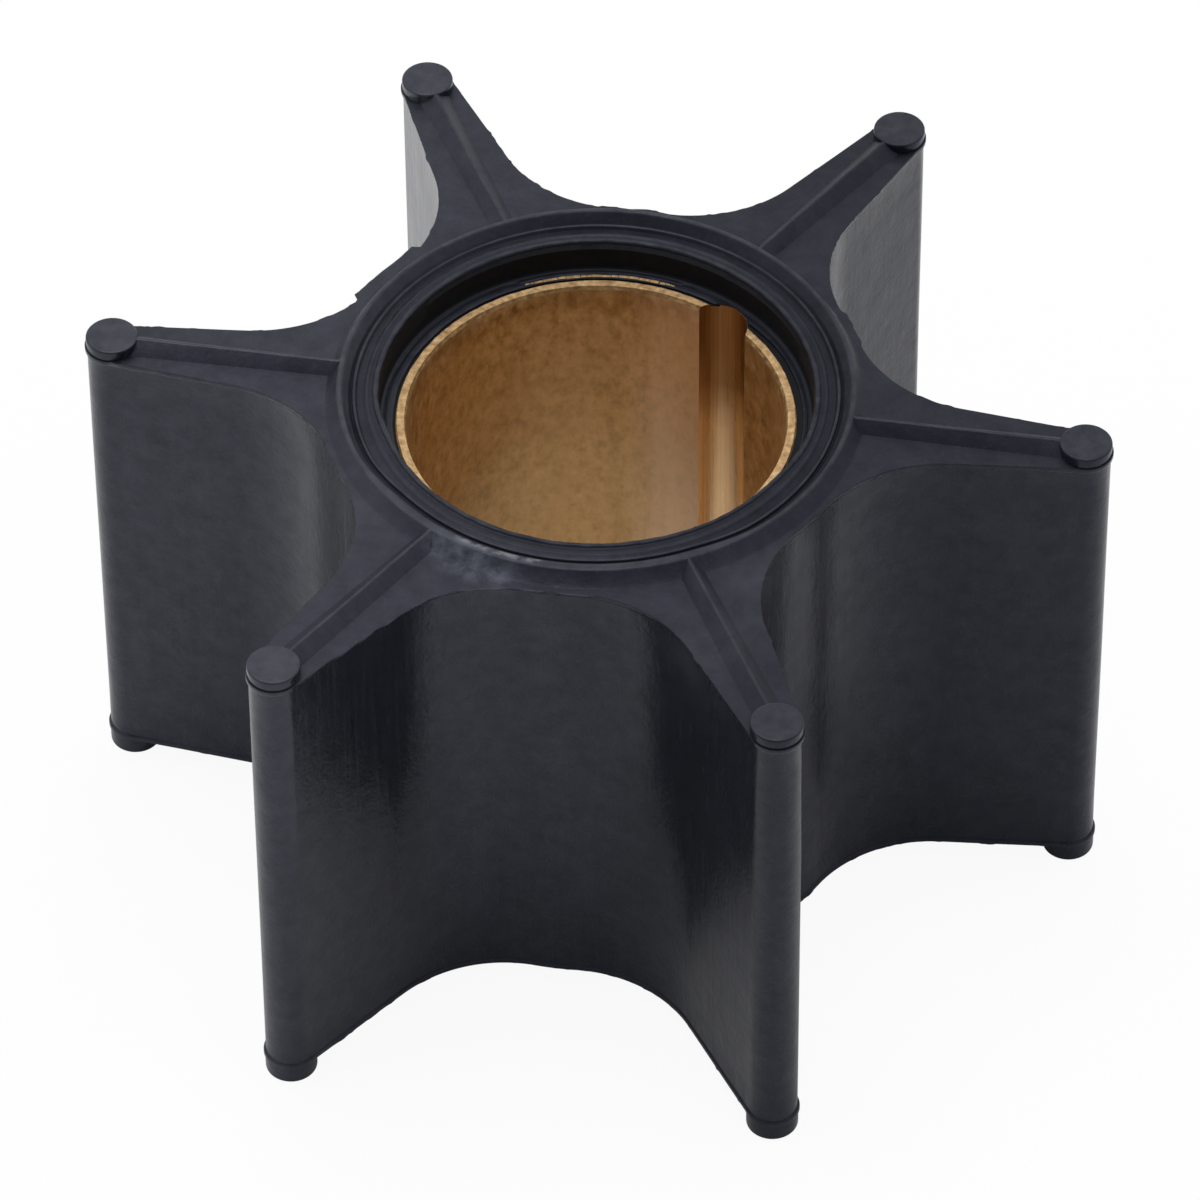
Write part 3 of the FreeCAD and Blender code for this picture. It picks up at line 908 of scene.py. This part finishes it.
def rim_bronze():
    """The faced end of the bush, bright and nicked, and darkened with painted shade where the lip shades
    it.
    """
    bronze = Finish("rim_bronze", Metallic=1.0)
    nicks = bronze.grain(0.5, 4.0, roughness=0.6)
    colour = bronze.shades(nicks, (0.3, (0.3, 0.175, 0.08)), (0.55, (0.56, 0.385, 0.2)),
                           (0.8, (0.86, 0.65, 0.38)))
    # Painted shade on the stretch of the rim at the front right, where the lip shades it.
    painted_shade_stretch = bronze.sums("MULTIPLY", bronze.round_band(-80.0, -30.0, 12.0, nicks), 0.9)
    bronze.feed("Base Color", bronze.mix(painted_shade_stretch, colour, (0.17, 0.1, 0.05)))
    bronze.feed("Roughness", bronze.spread(nicks, 0.55, 0.7))
    bronze.feed("Normal", bronze.bump(nicks, 0.05, 0.4))
    return bronze.material


def key_bronze():
    """The broached keyway: fine lines along the bush, with painted shade near the top and a bright
    painted reflection below.
    """
    bronze = Finish("key_bronze", Metallic=1.0)
    lines = bronze.grain(0.22, 2.0, (1, 1, 0.012))
    clouds = bronze.grain(5.0, 2.0)
    bright = bronze.shades(lines, (0.3, (0.8, 0.53, 0.28)), (0.7, (1.0, 0.74, 0.45)))
    dark = bronze.shades(lines, (0.3, (0.36, 0.2, 0.09)), (0.7, (0.5, 0.31, 0.155)))
    wander = bronze.spread(clouds, -1.2 * MM, 1.2 * MM)
    level = bronze.sums("ADD", bronze.place_axes()["Z"], wander)
    # Higher up the keyway is painted dark as shade, and lower down light as a painted reflection,
    # changing between about 27 and 32 mm.
    painted_shade_above = bronze.spread(level, 0.0, 1.0, 27.0 * MM, 32.0 * MM)
    bronze.feed("Base Color", bronze.mix(painted_shade_above, bright, dark))
    bronze.feed("Roughness", bronze.spread(lines, 0.24, 0.36))
    bronze.feed("Normal", bronze.bump(lines, 0.02, 0.35))
    return bronze.material


# Stage: a plain pale floor, a soft sky and the photograph's camera

def shown_share(tree, straight, in_gloss):
    """One amount for what the camera sees straight on, and one for what shows in gloss."""
    path = tree.nodes.new("ShaderNodeLightPath")
    gloss = math_node(tree, "MAXIMUM", path.outputs["Is Glossy Ray"],
                      path.outputs["Is Transmission Ray"])
    seen = math_node(tree, "MULTIPLY", path.outputs["Is Camera Ray"], straight)
    return math_node(tree, "ADD", seen, math_node(tree, "MULTIPLY", gloss, in_gloss))


def pale_floor():
    """A floor of white paper just under the lower nubs, which keeps the shadow."""
    half_side = 6.0
    gap = 0.02 * MM
    bm = bmesh.new()
    bmesh.ops.create_grid(bm, x_segments=1, y_segments=1, size=half_side)
    bmesh.ops.translate(bm, verts=bm.verts[:], vec=(0.0, 0.0, -gap))
    mesh = bpy.data.meshes.new("floor")
    bm.to_mesh(mesh)
    bm.free()
    floor = bpy.data.objects.new("floor", mesh)
    bpy.context.scene.collection.objects.link(floor)
    material = bpy.data.materials.new("floor_paper")
    material.use_nodes = True
    tree = material.node_tree
    paper = tree.nodes["Principled BSDF"]
    paper.inputs["Base Color"].default_value = (0.92, 0.92, 0.92, 1.0)
    paper.inputs["Roughness"].default_value = 0.9
    paper.inputs["Specular IOR Level"].default_value = 0.1
    glow = tree.nodes.new("ShaderNodeEmission")
    blend = tree.nodes.new("ShaderNodeMixShader")
    tree.links.new(shown_share(tree, 0.93, 0.05), blend.inputs["Fac"])
    tree.links.new(paper.outputs["BSDF"], blend.inputs[1])
    tree.links.new(glow.outputs["Emission"], blend.inputs[2])
    tree.links.new(blend.outputs["Shader"], tree.nodes["Material Output"].inputs["Surface"])
    mesh.materials.append(material)


def soft_sky():
    """White above, behind and at the sides, and dim on the side of the camera."""
    world = bpy.data.worlds.new("soft_sky")
    bpy.context.scene.world = world
    world.use_nodes = True
    tree = world.node_tree
    sky = tree.nodes["Background"]
    sky.inputs["Color"].default_value = (1.0, 1.0, 1.0, 1.0)
    place = tree.nodes.new("ShaderNodeTexCoord")
    towards = tree.nodes.new("ShaderNodeVectorMath")
    towards.operation = "DOT_PRODUCT"
    towards.inputs[1].default_value = UNLIT_SIDE
    tree.links.new(place.outputs["Generated"], towards.inputs[0])
    # The sky dims from 60 degrees off the unlit side, and is darkest within 23 degrees of it.
    dim = tree.nodes.new("ShaderNodeMapRange")
    dim.interpolation_type = "SMOOTHSTEP"
    dim.inputs["From Min"].default_value = 0.5
    dim.inputs["From Max"].default_value = 0.92
    dim.inputs["To Min"].default_value = 0.92
    dim.inputs["To Max"].default_value = 0.3
    tree.links.new(towards.outputs["Value"], dim.inputs["Value"])
    tree.links.new(dim.outputs["Result"], sky.inputs["Strength"])


def soft_box(name, place, target, width, height, watts):
    """A rectangular lamp that faces a target."""
    light = bpy.data.lights.new(name, "AREA")
    light.shape = "RECTANGLE"
    light.size = width
    light.size_y = height
    light.energy = watts
    lamp = bpy.data.objects.new(name, light)
    bpy.context.scene.collection.objects.link(lamp)
    lamp.location = place
    lamp.rotation_euler = (Vector(target) - Vector(place)).to_track_quat("-Z", "Y").to_euler()


def photograph_camera():
    """The camera as solved from the vane ends, for the square frame."""
    data = bpy.data.cameras.new("camera")
    data.sensor_width = 36.0
    data.lens = 266.364
    data.clip_start = 0.05
    data.clip_end = 20.0
    camera = bpy.data.objects.new("camera", data)
    bpy.context.scene.collection.objects.link(camera)
    camera.location = Vector((77.507, -456.696, 492.180)) * MM
    camera.rotation_euler = [math.radians(angle) for angle in (44.476, 0.3295, 9.274)]
    bpy.context.scene.camera = camera


photograph_camera()
pale_floor()
soft_sky()
soft_box("overhead_box", (-0.1, 0.1, 0.8), (0.0, 0.0, 0.02), 0.4, 0.4, 2.2)
bpy.context.scene.view_settings.view_transform = "Standard"

rubber = rubber_moulding()
rubber.data.materials.clear()
rubber.data.materials.append(moulded_rubber())
rubber.data.materials.append(painted_shade_rubber())
for skin_face in rubber.data.polygons:
    skin_face.material_index = 1 if in_painted_shade(skin_face) else 0
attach(rubber, "root")
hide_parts("rubber_impeller")

bush = turned_bush()
rim_finish = rim_bronze()
finish_bush(bush, bore_bronze(), rim_finish, key_bronze())
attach(bush, "root")
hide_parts("bronze_bush")

slivers = bared_bronze()
slivers.data.materials.append(rim_finish)
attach(slivers, "root")
